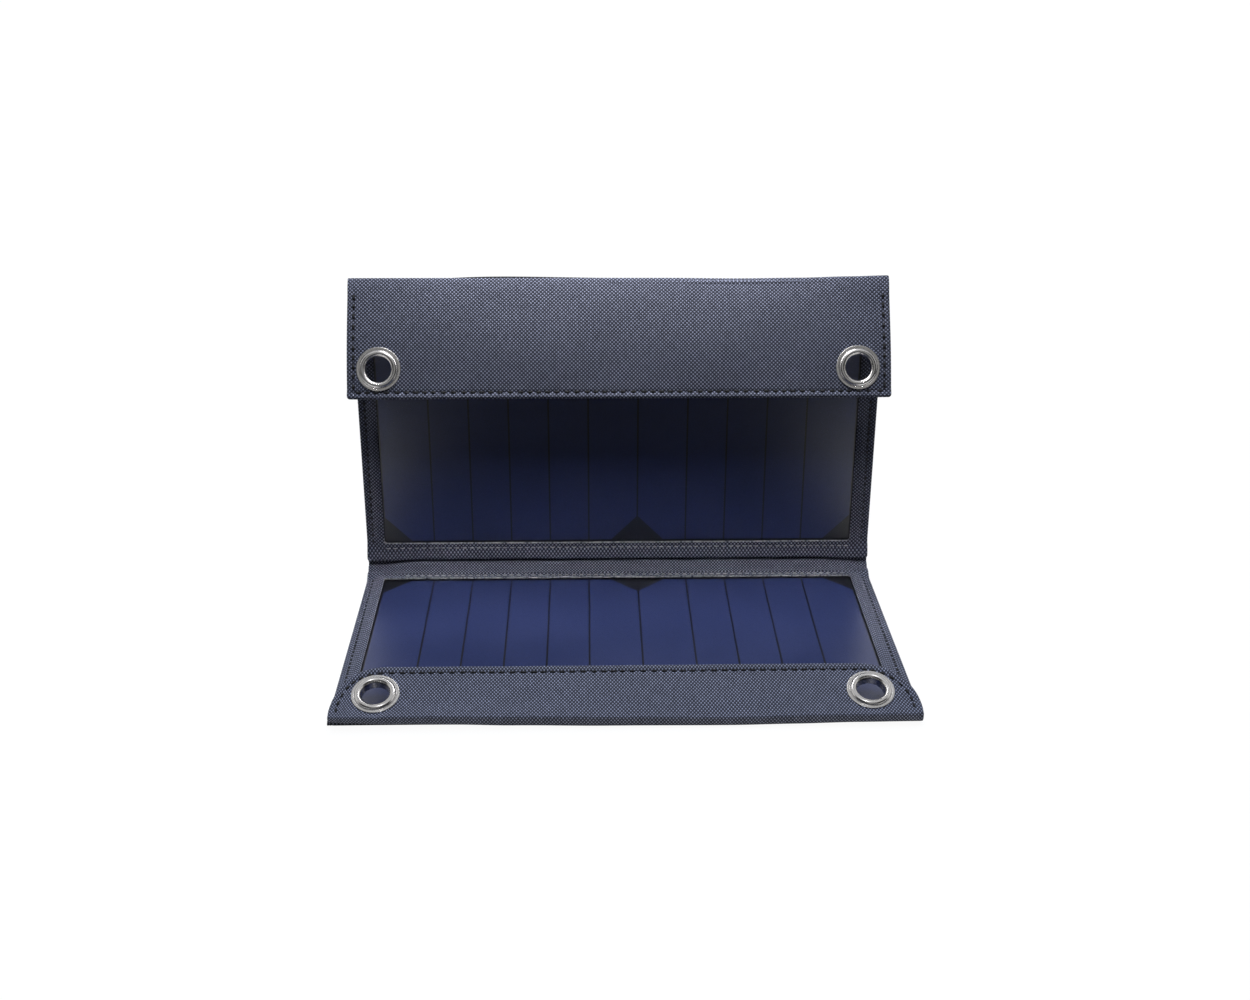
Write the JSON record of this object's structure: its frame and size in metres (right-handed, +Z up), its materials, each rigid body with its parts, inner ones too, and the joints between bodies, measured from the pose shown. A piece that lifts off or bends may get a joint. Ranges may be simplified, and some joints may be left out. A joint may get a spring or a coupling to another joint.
{
  "type": "folding solar panel",
  "caption": "Fabric folding solar panel: hinged leaves framing dark cell strips, a top flap and a front flap with metal eyelets, and a back pocket with a charge controller.",
  "frame": {"origin": "centre of the lower leaf's underside, on the surface it lies on", "axes": "+X to the right along the folds, +Y away from the viewer towards the standing leaf, +Z up"},
  "size_m": [0.2514, 0.1607, 0.1549],
  "materials": {
    "canvas": "woven, matt",
    "backsheet": "matt black laminate",
    "silicon": "dark blue textured silicon",
    "film": "clear satin film",
    "plastic": "matt black",
    "nickel": "polished nickel",
    "circuit": "green solder mask"
  },
  "bodies": {
    "lower_panel": {"lower_back_cover": "canvas", "lower_front_frame": "canvas", "lower_backing_board": "backsheet", "lower_front_film": "film", "lower_cell_01": "silicon", "lower_cell_02": "silicon", "lower_cell_03": "silicon", "lower_cell_04": "silicon", "lower_cell_05": "silicon", "lower_cell_06": "silicon", "lower_cell_07": "silicon", "lower_cell_08": "silicon", "lower_cell_09": "silicon", "lower_cell_10": "silicon", "lower_cell_11": "silicon", "lower_terminal": "plastic"},
    "upper_panel": {"upper_back_cover": "canvas", "upper_front_frame": "canvas", "upper_backing_board": "backsheet", "upper_front_film": "film", "upper_cell_01": "silicon", "upper_cell_02": "silicon", "upper_cell_03": "silicon", "upper_cell_04": "silicon", "upper_cell_05": "silicon", "upper_cell_06": "silicon", "upper_cell_07": "silicon", "upper_cell_08": "silicon", "upper_cell_09": "silicon", "upper_cell_10": "silicon", "upper_cell_11": "silicon", "upper_terminal": "plastic", "back_pocket": "canvas", "pocket_binding": "canvas", "controller_base": "plastic", "controller_lid": "plastic", "controller_board": "circuit", "usb_socket_left": "nickel", "usb_socket_right": "nickel", "hinge_lining": "canvas", "hinge_cover": "canvas", "link_cable": "plastic"},
    "top_flap": {"top_flap_lining": "canvas", "top_flap_stiffener": "plastic", "top_flap_cover": "canvas", "top_eyelet_left": "nickel", "top_eyelet_right": "nickel", "top_washer_left": "nickel", "top_washer_right": "nickel", "top_flap_fold": "canvas"},
    "front_flap": {"front_flap_lining": "canvas", "front_flap_stiffener": "plastic", "front_flap_cover": "canvas", "front_eyelet_left": "nickel", "front_eyelet_right": "nickel", "front_washer_left": "nickel", "front_washer_right": "nickel", "front_flap_fold": "canvas"}
  },
  "joints": [
    {"name": "main_fold", "type": "hinge", "parent": "lower_panel", "child": "upper_panel", "pos_m": [0, 0.07065, 0.0042], "axis": [1, 0, 0], "range_deg": [-90, 73], "deforming": ["hinge_lining", "hinge_cover", "link_cable"]},
    {"name": "top_flap_fold", "type": "hinge", "parent": "upper_panel", "child": "top_flap", "pos_m": [0, 0.07055, 0.1533], "axis": [1, 0, 0], "range_deg": [-156, 21], "deforming": ["top_flap_fold"]},
    {"name": "front_flap_fold", "type": "hinge", "parent": "lower_panel", "child": "front_flap", "pos_m": [0, -0.07125, 0.0043], "axis": [1, 0, 0], "range_deg": [-9.5, 160], "deforming": ["front_flap_fold"]}
  ]
}
